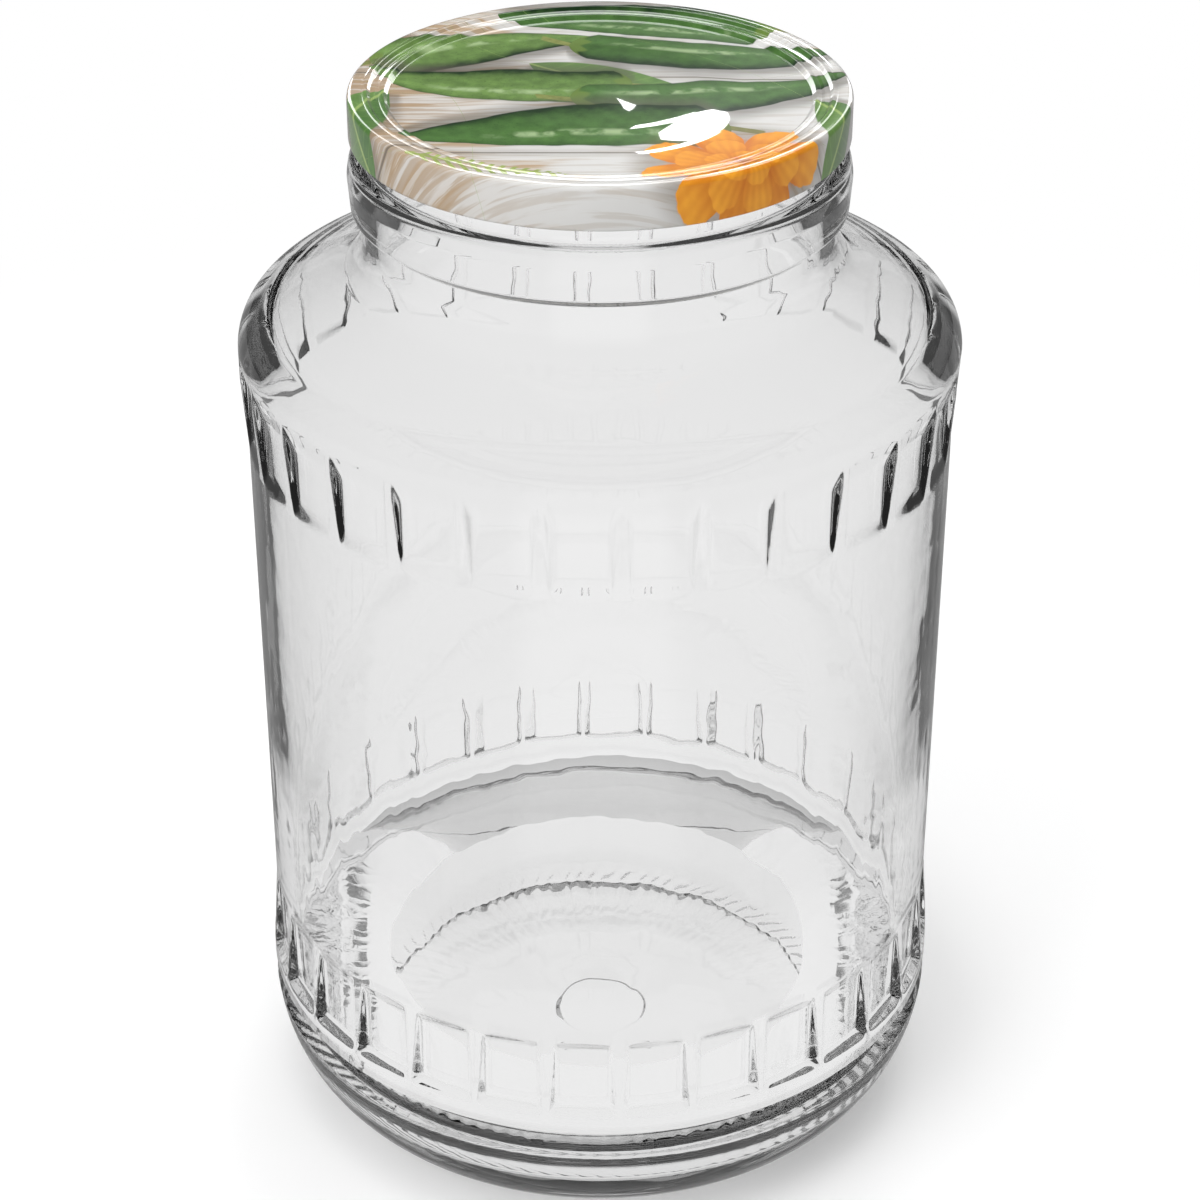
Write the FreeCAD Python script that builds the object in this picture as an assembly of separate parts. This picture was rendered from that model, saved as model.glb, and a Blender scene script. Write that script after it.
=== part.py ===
import FreeCAD, Part
import math
import os

# Glass pickle jar of about 3.6 litres with a twist-off steel lid, in millimetres.
# The origin is the centre of the base, on the surface that the jar stands on, and +Z is up.
# Heights of the heel are set from the base, and those of the shoulder and neck from the lid.

# ---- Overall ----
TOTAL_HEIGHT = 241.3          # top of the lid's rim
BODY_RADIUS = 75.4            # plain cylinder between the two panelled bands
WALL = 3.2                    # glass of the plain cylinder
FINISH_RADIUS = 48.6          # outside of the glass under the lid

# ---- Heel and base ----
HEEL_FLARE = 1.4              # how far the heel stands out beyond the plain cylinder
HEEL_HEIGHT = 28.0
HEEL_REACH = 20.5             # from the standing ring out to the widest part of the heel
STANDING_WIDTH = 6.8          # flat ring that the jar stands on
PUSH_UP = 5.0                 # height of the hollow under the base
PUSH_UP_SLOPE_WIDTH = 6.0
PUSH_UP_BLEND = 6.0
BASE_MARK_RADIUS = 10.5       # shallow round mould mark in the middle
BASE_MARK_DEPTH = 0.6
FLOOR_THICKNESS = 5.0
INNER_HEEL_ROUNDING = 21.0
KNURL_COUNT = 90
KNURL_DEPTH = 0.45
KNURL_WIDTH = 2.2
KNURL_SLANT = 28.0            # degrees from the radial direction
KNURL_PLAIN_WIDTH = 2.5       # inner part of the standing ring that has no knurls
KNURL_OVERRUN = 5.2           # how far the knurls run out on to the heel

# ---- Panelled bands: flat windows between upright ribs ----
PANEL_COUNT = 30
RIB_WIDTH = 2.8               # across a rib, on the plain cylinder
PANEL_DEPTH = 0.9             # of the flat floor, below the plain cylinder
PANEL_PHASE = 3.2             # degrees from -Y to the centre line of a rib
SIDE_DRAFT = 42.0             # slope of a window's sides, in degrees from the radial direction
TOP_DRAFT = 65.0              # its top edge runs out gently
HEEL_FOOT_DRAFT = 30.0        # its lower edge is a ledge on the heel
SHOULDER_FOOT_DRAFT = 59.0    # and a gentle slope under the shoulder
TOP_CORNER = 0.6              # rounding of a window's upper corners
FOOT_CORNER = 2.2             # and of its lower ones
HEEL_BAND_START = 36.3
HEEL_BAND_HEIGHT = 18.7
SHOULDER_BAND_HEIGHT = 18.4
SHOULDER_BAND_DROP = 8.6      # from where the side and the shoulder's slope meet down to the band

# ---- Shoulder and neck ----
SHOULDER_FLARE = 1.1          # how far the shoulder stands out beyond the plain cylinder
FLARE_LEAD = 2.0              # the flare is complete this far below the top of the band
FLARE_BLEND = 4.0             # rounding where a flare leaves the plain cylinder
SHOULDER_ROUNDING = 14.8
SHOULDER_SLOPE = 26.0         # degrees down from level
SHOULDER_WALL = 3.6
NECK_STEP = 0.4               # the neck stands out this much from the finish
NECK_LENGTH = 10.0            # from the bead down to where the shoulder's slope meets the neck
NECK_ROUNDING = 9.0

# ---- Transfer bead ----
BEAD_GAP = 4.2                # bare glass between the lid's lower edge and the bead
BEAD_HEIGHT = 12.6
BEAD_REACH = 3.5              # from the finish out to the widest part of the bead
BEAD_WAIST_REACH = 2.6        # the underside of the bead tapers in to here
BEAD_TAPER_HEIGHT = 3.6       # height of the taper under and over the bead
BEAD_LIP = 0.6                # small step from the top of the bead in to the finish

# ---- Finish ----
FINISH_WALL = 3.4
RIM_ROUNDING = 1.2
THREAD_COUNT = 6              # one ridge for each lug of the lid
THREAD_REACH = 1.2            # how far a thread ridge stands out
THREAD_ROOT = 2.4
THREAD_CREST = 1.0
THREAD_SPAN = 42.0            # degrees round the finish
THREAD_RISE = 1.6

# ---- Lid ----
LID_HEIGHT = 9.5
LID_SHEET = 0.3
LID_EDGE_ROUNDING = 1.9
STEP_ROUNDING = 0.4           # at the foot and the crest of each pressed step
BUTTON_ROUNDING = 1.0
RIM_FLAT_WIDTH = 3.1          # the lid's top rim, from its outside in to the first step
MIDDLE_RING_WIDTH = 3.1
STEP_WIDTH = 1.0              # each sloping step of the pressed top
CHANNEL_DROP = 0.75
PANEL_DROP = 0.9
BUTTON_FOOT = 30.4            # the safety button: a low cone, a flat ring and a dome
BUTTON_RING = 21.5
BUTTON_DOME = 14.0
BUTTON_CONE_RISE = 0.55
BUTTON_DOME_RISE = 0.35
CURL_RADIUS = 0.7             # rolled lower edge of the skirt
LUG_SPAN = 12.0
LUG_HEIGHT = 1.5
LUG_CLEARANCE = 0.3           # between a lug's tip and the glass
CURL_CLEARANCE = 0.3          # between the rolled edge and the thread ridges
THREAD_CLEARANCE = 0.15       # between a lug and the thread ridge above it

# ---- Sealing compound in the lid's channel ----
SEAL_THICKNESS = 0.6
SEAL_OVERHANG = 0.3           # how far the compound reaches in past the mouth
SEAL_SKIRT_GAP = 0.4

# How far the mould cutter for a window reaches beyond the glass
CUTTER_MARGIN = 0.2

# Radii and heights that follow from the sizes above
HEEL_RADIUS = BODY_RADIUS + HEEL_FLARE
SHOULDER_RADIUS = BODY_RADIUS + SHOULDER_FLARE
INNER_RADIUS = BODY_RADIUS - WALL
PANEL_FLOOR = BODY_RADIUS - PANEL_DEPTH
STANDING_OUTER = HEEL_RADIUS - HEEL_REACH
STANDING_INNER = STANDING_OUTER - STANDING_WIDTH
PUSH_UP_EDGE = STANDING_INNER - PUSH_UP_SLOPE_WIDTH
NECK_RADIUS = FINISH_RADIUS + NECK_STEP
BEAD_RADIUS = FINISH_RADIUS + BEAD_REACH
BEAD_WAIST_RADIUS = FINISH_RADIUS + BEAD_WAIST_REACH
MOUTH_RADIUS = FINISH_RADIUS - FINISH_WALL
CURL_INSIDE = FINISH_RADIUS + THREAD_REACH + CURL_CLEARANCE
LID_RADIUS = CURL_INSIDE + 2 * CURL_RADIUS
LID_BOTTOM = TOTAL_HEIGHT - LID_HEIGHT
CHANNEL_CEILING = TOTAL_HEIGHT - CHANNEL_DROP - LID_SHEET
RIM_TOP = CHANNEL_CEILING - SEAL_THICKNESS
PANEL_TOP = TOTAL_HEIGHT - CHANNEL_DROP - PANEL_DROP
FLOOR_TOP = PUSH_UP + FLOOR_THICKNESS
BEAD_TOP = LID_BOTTOM - BEAD_GAP
BEAD_BOTTOM = BEAD_TOP - BEAD_HEIGHT
SLOPE = math.radians(SHOULDER_SLOPE)
NECK_CORNER = BEAD_BOTTOM - NECK_LENGTH
SIDE_CORNER = NECK_CORNER - (SHOULDER_RADIUS - NECK_RADIUS) * math.tan(SLOPE)
SHOULDER_BAND_START = SIDE_CORNER - SHOULDER_BAND_DROP - SHOULDER_BAND_HEIGHT
HEEL_BAND = (HEEL_BAND_START, HEEL_BAND_START + HEEL_BAND_HEIGHT)
SHOULDER_BAND = (SHOULDER_BAND_START, SHOULDER_BAND_START + SHOULDER_BAND_HEIGHT)
PITCH = 360.0 / PANEL_COUNT
AXIS = FreeCAD.Vector(0, 0, 1)
ORIGIN = FreeCAD.Vector(0, 0, 0)


def at(radius, z):
    """A point of a profile, in the plane of the axis."""
    return FreeCAD.Vector(radius, 0, z)


def rounded_edges(corners):
    """Lines through corners (radius, z, rounding), each rounded by a tangent arc.

    A rounding is cut down where the two lines that meet there are too short for it.
    """
    points = [at(radius, z) for radius, z, rounding in corners]
    edges = []
    start = points[0]
    for i in range(1, len(points) - 1):
        before = (points[i - 1] - points[i]).normalize()
        after = (points[i + 1] - points[i]).normalize()
        half = before.getAngle(after) / 2
        room = 0.49 * min((points[i - 1] - points[i]).Length, (points[i + 1] - points[i]).Length)
        rounding = min(corners[i][2], room * math.tan(half))
        if rounding < 0.01 or abs(half - math.pi / 2) < 0.001:
            edges.append(Part.makeLine(start, points[i]))
            start = points[i]
            continue
        reach = rounding / math.tan(half)
        enter = points[i] + before * reach
        leave = points[i] + after * reach
        inward = (before + after).normalize()
        middle = points[i] + inward * (rounding / math.sin(half) - rounding)
        if (enter - start).Length > 0.001:
            edges.append(Part.makeLine(start, enter))
        edges.append(Part.Arc(enter, middle, leave).toShape())
        start = leave
    edges.append(Part.makeLine(start, points[-1]))
    return edges


def revolve(edges):
    """A solid of revolution from the edges of a closed profile."""
    wire = Part.Wire(Part.__sortEdges__(edges))
    return Part.Face(wire).revolve(ORIGIN, AXIS, 360)


def turned(shape, angle):
    copy = shape.copy()
    copy.rotate(ORIGIN, AXIS, angle)
    return copy


def outside_corners():
    """From the top of the heel up the side, the shoulder and the bead to the rim."""
    heel = [(HEEL_RADIUS, HEEL_HEIGHT, 0), (HEEL_RADIUS, HEEL_BAND[0], FLARE_BLEND)]
    side = [(BODY_RADIUS, HEEL_BAND[1], FLARE_BLEND), (BODY_RADIUS, SHOULDER_BAND[0], FLARE_BLEND)]
    side += [(SHOULDER_RADIUS, SHOULDER_BAND[1] - FLARE_LEAD, FLARE_BLEND)]
    shoulder = [(SHOULDER_RADIUS, SIDE_CORNER, SHOULDER_ROUNDING), (NECK_RADIUS, NECK_CORNER, NECK_ROUNDING)]
    bead = [(NECK_RADIUS, BEAD_BOTTOM, 1.5), (BEAD_WAIST_RADIUS, BEAD_BOTTOM + BEAD_TAPER_HEIGHT, 2)]
    bead += [(BEAD_RADIUS, BEAD_TOP - BEAD_TAPER_HEIGHT, 3), (BEAD_RADIUS - BEAD_LIP, BEAD_TOP, 2)]
    finish = [(FINISH_RADIUS, BEAD_TOP + BEAD_LIP, 0.8), (FINISH_RADIUS, RIM_TOP, RIM_ROUNDING)]
    return heel + side + shoulder + bead + finish + [(MOUTH_RADIUS, RIM_TOP, RIM_ROUNDING)]


def inside_corners():
    """From the mouth down the neck, the shoulder and the side to the middle of the floor."""
    neck_z = NECK_CORNER + (NECK_RADIUS - MOUTH_RADIUS) * math.tan(SLOPE) - SHOULDER_WALL / math.cos(SLOPE)
    side_z = neck_z - (INNER_RADIUS - MOUTH_RADIUS) * math.tan(SLOPE)
    neck = [(MOUTH_RADIUS, neck_z, NECK_ROUNDING + SHOULDER_WALL)]
    side = [(INNER_RADIUS, side_z, SHOULDER_ROUNDING - SHOULDER_WALL)]
    return neck + side + [(INNER_RADIUS, FLOOR_TOP, INNER_HEEL_ROUNDING), (0, FLOOR_TOP, 0)]


def heel_curve():
    """The heel's quarter of an ellipse, from the standing ring to the side."""
    centre = at(STANDING_OUTER, HEEL_HEIGHT)
    ellipse = Part.Ellipse(at(STANDING_OUTER, 0), at(HEEL_RADIUS, HEEL_HEIGHT), centre)
    quarter_box = Part.makeBox(HEEL_REACH, 2, HEEL_HEIGHT, FreeCAD.Vector(STANDING_OUTER, -1, 0))
    return ellipse.toShape().common(quarter_box).Edges


def underside_corners():
    """From the middle of the floor down through it, and out under the base to the heel."""
    mark_z = PUSH_UP + BASE_MARK_DEPTH
    mark = [(0, FLOOR_TOP, 0), (0, mark_z, 0), (BASE_MARK_RADIUS - 0.5, mark_z, 0.3)]
    hollow = [(BASE_MARK_RADIUS, PUSH_UP, 0.3), (PUSH_UP_EDGE, PUSH_UP, PUSH_UP_BLEND)]
    return mark + hollow + [(STANDING_INNER, 0, 1), (STANDING_OUTER, 0, 0)]


def rounded_window(radius, half_width, foot, top):
    """A window's outline in an upright plane at a distance from the axis, with rounded corners."""
    edges = []
    flats = []
    for z, up, corner in ((top, 1, TOP_CORNER), (foot, -1, FOOT_CORNER)):
        k = corner * (1 - math.sqrt(0.5))
        flat_ends = []
        for side in (1, -1):
            flat_end = FreeCAD.Vector(radius, side * (half_width - corner), z)
            bend = FreeCAD.Vector(radius, side * (half_width - k), z - up * k)
            upright_end = FreeCAD.Vector(radius, side * half_width, z - up * corner)
            edges.append(Part.Arc(flat_end, bend, upright_end).toShape())
            flat_ends.append(flat_end)
            flats.append(upright_end)
        edges.append(Part.makeLine(flat_ends[0], flat_ends[1]))
    edges.append(Part.makeLine(flats[0], flats[2]))
    edges.append(Part.makeLine(flats[1], flats[3]))
    return Part.Wire(Part.__sortEdges__(edges))


def panel_cutter(band, foot_draft):
    """What the mould takes out for one window: a flat floor with four sloping sides."""
    crest = max(HEEL_RADIUS, SHOULDER_RADIUS) + CUTTER_MARGIN
    half_width = BODY_RADIUS * math.sin(math.radians(PITCH / 2)) - RIB_WIDTH / 2
    wires = []
    for radius in (PANEL_FLOOR, crest):
        rise = radius - BODY_RADIUS
        side = half_width + rise * math.tan(math.radians(SIDE_DRAFT))
        foot = band[0] - rise * math.tan(math.radians(foot_draft))
        top = band[1] + rise * math.tan(math.radians(TOP_DRAFT))
        wires.append(rounded_window(radius, side, foot, top))
    return Part.makeLoft(wires, True, True)


def knurl_cutter():
    """One slanted groove across the outer part of the standing ring."""
    w = KNURL_WIDTH / 2
    top = 0.35 * w
    section = [FreeCAD.Vector(0, -w, -KNURL_DEPTH), FreeCAD.Vector(0, w, -KNURL_DEPTH)]
    section += [FreeCAD.Vector(0, top, KNURL_DEPTH), FreeCAD.Vector(0, -top, KNURL_DEPTH)]
    groove = Part.Face(Part.makePolygon(section + section[:1]))
    start = STANDING_INNER + KNURL_PLAIN_WIDTH
    length = (STANDING_OUTER + KNURL_OVERRUN - start) / math.cos(math.radians(KNURL_SLANT))
    bar = groove.extrude(FreeCAD.Vector(length, 0, 0))
    bar.rotate(ORIGIN, AXIS, KNURL_SLANT)
    bar.translate(FreeCAD.Vector(start, 0, 0))
    return bar


def thread_ridge():
    """One inclined ridge of the finish, which a lug of the lid slides under."""
    buried = FINISH_RADIUS - 1
    tip = FINISH_RADIUS + THREAD_REACH
    root = THREAD_ROOT / 2
    crest = THREAD_CREST / 2
    low_z = LID_BOTTOM + LUG_HEIGHT + THREAD_CLEARANCE + root
    steps = 7
    sections = []
    for i in range(steps + 1):
        share = i / steps
        z = low_z + THREAD_RISE * share
        points = [at(buried, z - root), at(tip, z - crest), at(tip, z + crest), at(buried, z + root)]
        wire = Part.makePolygon(points + points[:1])
        sections.append(turned(wire, THREAD_SPAN * share))
    return Part.makeLoft(sections, True, False)


def make_jar():
    profile = heel_curve() + rounded_edges(outside_corners() + inside_corners())
    body = revolve(profile + rounded_edges(underside_corners()))
    first = PANEL_PHASE - 90 + PITCH / 2
    windows = []
    for band, foot_draft in ((HEEL_BAND, HEEL_FOOT_DRAFT), (SHOULDER_BAND, SHOULDER_FOOT_DRAFT)):
        window = panel_cutter(band, foot_draft)
        windows += [turned(window, first + i * PITCH) for i in range(PANEL_COUNT)]
    body = body.cut(windows)
    groove = knurl_cutter()
    body = body.cut([turned(groove, i * 360.0 / KNURL_COUNT) for i in range(KNURL_COUNT)])
    ridge = thread_ridge()
    lead_in = LUG_SPAN / 2
    return body.fuse([turned(ridge, i * 360.0 / THREAD_COUNT - lead_in) for i in range(THREAD_COUNT)])


def lid_top(drop):
    """The pressed top of the lid from the axis out to its rim, lowered by drop."""
    ring_z = PANEL_TOP + BUTTON_CONE_RISE
    middle_z = TOTAL_HEIGHT - CHANNEL_DROP
    rim_inside = LID_RADIUS - RIM_FLAT_WIDTH
    middle_outside = rim_inside - STEP_WIDTH
    middle_inside = middle_outside - MIDDLE_RING_WIDTH
    button = [(0, ring_z + BUTTON_DOME_RISE, 0), (BUTTON_DOME, ring_z, 1.5)]
    button += [(BUTTON_RING, ring_z, BUTTON_ROUNDING), (BUTTON_FOOT, PANEL_TOP, BUTTON_ROUNDING)]
    steps = [(middle_inside - STEP_WIDTH, PANEL_TOP), (middle_inside, middle_z)]
    steps += [(middle_outside, middle_z), (rim_inside, TOTAL_HEIGHT)]
    levels = button + [(radius, z, STEP_ROUNDING) for radius, z in steps]
    return [(radius, z - drop, rounding) for radius, z, rounding in levels]


def make_lid():
    """A pressed steel shell with stepped top, skirt, rolled edge and inward lugs."""
    curl_top = LID_BOTTOM + 2 * CURL_RADIUS
    inside = LID_RADIUS - LID_SHEET
    skirt = [(LID_RADIUS, TOTAL_HEIGHT, LID_EDGE_ROUNDING), (LID_RADIUS, LID_BOTTOM, CURL_RADIUS)]
    curl = [(CURL_INSIDE, LID_BOTTOM, CURL_RADIUS), (CURL_INSIDE, curl_top, CURL_RADIUS)]
    ceiling = [(inside, curl_top, 0.2), (inside, TOTAL_HEIGHT - LID_SHEET, LID_EDGE_ROUNDING - LID_SHEET)]
    closing = [(0, lid_top(0)[0][1], 0)]
    outline = lid_top(0) + skirt + curl + ceiling + lid_top(LID_SHEET)[::-1] + closing
    shell = revolve(rounded_edges(outline))
    tip = FINISH_RADIUS + LUG_CLEARANCE
    root = LID_RADIUS - CURL_RADIUS
    corners = [(root, LID_BOTTOM + 0.1), (tip + 0.5, LID_BOTTOM + 0.3), (tip, LID_BOTTOM + 0.9)]
    corners += [(tip, LID_BOTTOM + LUG_HEIGHT), (root, LID_BOTTOM + LUG_HEIGHT)]
    points = [at(radius, z) for radius, z in corners]
    lug = Part.Face(Part.makePolygon(points + points[:1])).revolve(ORIGIN, AXIS, LUG_SPAN)
    return shell.fuse([turned(lug, i * 360.0 / THREAD_COUNT) for i in range(THREAD_COUNT)])


def make_seal():
    """The ring of sealing compound, flat on the glass rim and moulded to the lid's channel."""
    inner = MOUTH_RADIUS - SEAL_OVERHANG
    outer = LID_RADIUS - LID_SHEET - SEAL_SKIRT_GAP
    lid_ceiling = TOTAL_HEIGHT - LID_SHEET
    rim_inside = LID_RADIUS - RIM_FLAT_WIDTH
    corners = [(inner, RIM_TOP, 0), (outer, RIM_TOP, 0), (outer, TOTAL_HEIGHT - LID_EDGE_ROUNDING, 0)]
    corners += [(LID_RADIUS - LID_EDGE_ROUNDING, lid_ceiling, 0), (rim_inside, lid_ceiling, STEP_ROUNDING)]
    corners += [(rim_inside - STEP_WIDTH, CHANNEL_CEILING, STEP_ROUNDING)]
    corners += [(inner, CHANNEL_CEILING, 0), (inner, RIM_TOP, 0)]
    return revolve(rounded_edges(corners))


os.makedirs("parts", exist_ok=True)
for name, make in (("glass_jar", make_jar), ("twist_lid", make_lid), ("sealing_ring", make_seal)):
    shape = make().removeSplitter()
    volume = round(shape.Volume / 1000, 2)
    print(name, "valid", shape.isValid(), "solids", len(shape.Solids), "cubic cm", volume)
    shape.exportStep("parts/" + name + ".step")
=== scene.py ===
import math

import bpy
from bpy.props import FloatProperty, FloatVectorProperty, IntProperty, PointerProperty
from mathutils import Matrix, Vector, noise


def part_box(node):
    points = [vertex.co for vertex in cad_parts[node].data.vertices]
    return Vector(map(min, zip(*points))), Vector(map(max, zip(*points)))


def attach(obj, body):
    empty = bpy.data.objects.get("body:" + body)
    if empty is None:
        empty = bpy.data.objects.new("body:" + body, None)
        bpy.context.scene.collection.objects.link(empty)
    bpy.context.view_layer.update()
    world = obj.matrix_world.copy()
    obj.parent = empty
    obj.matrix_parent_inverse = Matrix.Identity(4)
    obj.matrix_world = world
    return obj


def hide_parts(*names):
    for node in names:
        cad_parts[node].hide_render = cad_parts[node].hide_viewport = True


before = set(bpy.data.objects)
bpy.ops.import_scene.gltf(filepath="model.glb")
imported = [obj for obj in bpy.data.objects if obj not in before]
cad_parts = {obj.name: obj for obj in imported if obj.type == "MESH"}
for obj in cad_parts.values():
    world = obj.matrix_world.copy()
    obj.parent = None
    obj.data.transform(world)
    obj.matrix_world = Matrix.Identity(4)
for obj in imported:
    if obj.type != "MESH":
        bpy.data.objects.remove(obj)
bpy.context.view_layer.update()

bl_info = {
    "name": "Preserving jar with printed twist-off lid",
    "version": (1, 0, 0),
    "blender": (4, 5, 0),
    "location": "View3D > Sidebar > Jar",
    "description": "Builds the glass jar, its printed lid and a plain studio around the packed model",
    "category": "Object",
}

JAR_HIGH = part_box("glass_jar")[1]
LID_LOW, LID_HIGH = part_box("twist_lid")
MM = 0.001
TOTAL_HEIGHT = LID_HIGH[2]
LID_BOTTOM = LID_LOW[2]
LID_RADIUS = LID_HIGH[0]
RIM_TOP = JAR_HIGH[2]
HEEL_RADIUS = JAR_HIGH[0]


# ---- settings

class JarSizes(bpy.types.PropertyGroup):
    """Sizes of the glass that aren't read from the frame."""
    heel_flare: FloatProperty(
        name="Heel flare", description="How far the heel stands out from the side", default=1.4 * MM, unit="LENGTH")
    shoulder_flare: FloatProperty(
        name="Shoulder flare", description="How far the shoulder stands out", default=1.1 * MM, unit="LENGTH")
    wall: FloatProperty(
        name="Wall", description="Thickness of the glass at the side", default=3.2 * MM, unit="LENGTH")
    panels: IntProperty(
        name="Panels", description="Windows round each band", default=30)
    rib_width: FloatProperty(
        name="Rib width", description="Crest between two windows", default=2.8 * MM, unit="LENGTH")
    panel_depth: FloatProperty(
        name="Panel depth", description="Depth of a window's floor below the side", default=0.78 * MM, unit="LENGTH")
    panel_phase: FloatProperty(
        name="Panel phase", description="From the front to the centre of a rib",
        default=math.radians(3.2), unit="ROTATION")
    ripple: FloatProperty(
        name="Ripple", description="Height of the slow waves of the inner wall", default=0.26 * MM, unit="LENGTH")
    knurls: IntProperty(
        name="Knurls", description="Grooves round the standing ring", default=90)


class StudioSettings(bpy.types.PropertyGroup):
    """The stage, lamps and camera."""
    floor_colour: FloatVectorProperty(
        name="Floor colour", description="Pale floor", default=(0.93, 0.93, 0.93), subtype="COLOR")
    dark_level: FloatProperty(
        name="Dark level", description="What reflections see away from the lamps", default=0.06)
    deep_level: FloatProperty(
        name="Deep level", description="What light sees that was turned back inside the jar", default=0.94)
    pool_radius: FloatProperty(
        name="Bright pool", description="Radius of the bright floor that the glass walls mirror",
        default=0.15, unit="LENGTH")
    camera_distance: FloatProperty(
        name="Camera distance", description="Level distance from the axis", default=0.5922, unit="LENGTH")
    camera_height: FloatProperty(
        name="Camera height", description="Height above the floor", default=0.4713, unit="LENGTH")
    camera_tilt: FloatProperty(
        name="Camera tilt", description="Down from level", default=math.radians(30.68), unit="ROTATION")
    camera_lens: FloatProperty(
        name="Lens", description="Focal length on a 36 mm sensor", default=92.54)


# ---- modelling helpers

ARC_SHARE = 0.49  # how much of a side one rounding may take up
LEAST_ROUNDING = 0.01 * MM
LEAST_TURN = 0.001  # radians; a corner that turns less stays as it is
LEAST_GAP = 0.02 * MM  # between two points of an outline
MERGE_DISTANCE = 0.004 * MM


def deselect_all():
    """Nothing selected and nothing active, so that the next primitive stands alone."""
    if bpy.context.object is not None and bpy.context.object.mode != "OBJECT":
        leave_edit()
    bpy.ops.object.select_all(action="DESELECT")


def select_only(piece):
    deselect_all()
    piece.select_set(True)
    bpy.context.view_layer.objects.active = piece


def edit_all(piece):
    """Opens a piece in edit mode with all of it selected."""
    select_only(piece)
    bpy.ops.object.mode_set(mode="EDIT")
    bpy.ops.mesh.select_all(action="SELECT")


def leave_edit():
    bpy.ops.object.mode_set(mode="OBJECT")


def rounded_outline(corners, arc_steps=6):
    """Points (radius, z) through corners (radius, z, rounding), each rounded by a tangent arc."""
    points = [Vector(corners[0][:2])]
    for last, this, following in zip(corners, corners[1:], corners[2:]):
        here = Vector(this[:2])
        before = Vector(last[:2]) - here
        after = Vector(following[:2]) - here
        room = ARC_SHARE * min(before.length, after.length)
        before.normalize()
        after.normalize()
        half = before.angle(after) / 2
        rounding = min(this[2], room * math.tan(half))
        if rounding < LEAST_ROUNDING or abs(half - math.pi / 2) < LEAST_TURN:
            points.append(here)
            continue
        centre = here + (before + after).normalized() * (rounding / math.sin(half))
        enter = here + before * (rounding / math.tan(half)) - centre
        leave = here + after * (rounding / math.tan(half)) - centre
        sweep = enter.angle_signed(leave)
        for k in range(arc_steps + 1):
            turn = -sweep * k / arc_steps
            c = math.cos(turn)
            s = math.sin(turn)
            points.append(centre + Vector((enter.x * c - enter.y * s, enter.x * s + enter.y * c)))
    points.append(Vector(corners[-1][:2]))
    return points


def resample(points, step):
    """The same outline with no gap longer than step."""
    out = [points[0]]
    for a, b in zip(points, points[1:]):
        count = max(1, math.ceil((b - a).length / step))
        out += [a.lerp(b, k / count) for k in range(1, count + 1)]
    return [p for i, p in enumerate(out) if i == 0 or (p - out[i - 1]).length > LEAST_GAP]


def turned_strip(name, points, turns):
    """Extrudes one vertex along an outline and spins it about the axis by (angle, steps) stages."""
    deselect_all()
    bpy.ops.mesh.primitive_plane_add(size=MM, location=(0, 0, 0))
    piece = bpy.context.object
    piece.name = name
    bpy.ops.object.mode_set(mode="EDIT")
    bpy.ops.mesh.select_all(action="SELECT")
    bpy.ops.mesh.merge(type="CENTER")
    bpy.ops.transform.translate(value=(points[0].x, 0, points[0].y))
    for a, b in zip(points, points[1:]):
        bpy.ops.mesh.extrude_region_move(TRANSFORM_OT_translate={"value": (b.x - a.x, 0, b.y - a.y)})
    bpy.ops.mesh.select_all(action="SELECT")
    for angle, steps in turns:
        bpy.ops.mesh.spin(steps=steps, angle=angle, center=(0, 0, 0), axis=(0, 0, 1))
    leave_edit()
    return piece


def merge_and_face_out(piece):
    """Closes seams and poles, then points every face outwards."""
    edit_all(piece)
    bpy.ops.mesh.remove_doubles(threshold=MERGE_DISTANCE)
    bpy.ops.mesh.normals_make_consistent(inside=False)
    leave_edit()


def repeat_round(piece, count):
    """Copies a sector round the axis with an array, and applies it."""
    deselect_all()
    bpy.ops.object.empty_add(location=(0, 0, 0), rotation=(0, 0, 2 * math.pi / count))
    pivot = bpy.context.object
    select_only(piece)
    array = piece.modifiers.new("round", "ARRAY")
    array.use_relative_offset = False
    array.use_object_offset = True
    array.offset_object = pivot
    array.count = count
    bpy.context.view_layer.update()
    bpy.ops.object.modifier_apply(modifier=array.name)
    bpy.data.objects.remove(pivot)


def turn_about_axis(piece, angle):
    """Turns a piece counter-clockwise as seen from above."""
    edit_all(piece)
    bpy.ops.transform.rotate(value=-angle, orient_axis="Z", center_override=(0, 0, 0))
    leave_edit()


def join(pieces, name):
    """Makes one object of several; it keeps the first one's place."""
    select_only(pieces[0])
    for piece in pieces:
        piece.select_set(True)
    bpy.ops.object.join()
    pieces[0].name = name
    return pieces[0]


def bridge_rings(piece, low_z, high_z, least_radius):
    """Joins the two open rings whose heights lie between low_z and high_z."""
    select_only(piece)
    bpy.ops.object.mode_set(mode="EDIT")
    bpy.ops.mesh.select_mode(type="EDGE")
    bpy.ops.mesh.select_all(action="DESELECT")
    bpy.ops.mesh.select_non_manifold(extend=False, use_wire=False, use_multi_face=False,
                                     use_non_contiguous=False, use_verts=False)
    leave_edit()
    mesh = piece.data
    for edge in mesh.edges:
        if edge.select:
            middle = (mesh.vertices[edge.vertices[0]].co + mesh.vertices[edge.vertices[1]].co) / 2
            edge.select = low_z < middle.z < high_z and middle.xy.length > least_radius
    bpy.ops.object.mode_set(mode="EDIT")
    bpy.ops.mesh.bridge_edge_loops()
    bpy.ops.mesh.select_mode(type="VERT")
    leave_edit()


def smooth(piece):
    select_only(piece)
    bpy.ops.object.shade_smooth()


def ease(x):
    """0 below 0, 1 above 1, and a smooth step between."""
    x = min(1.0, max(0.0, x))
    return x * x * x * (x * (6 * x - 15) + 10)


# ---- the glass

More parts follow.
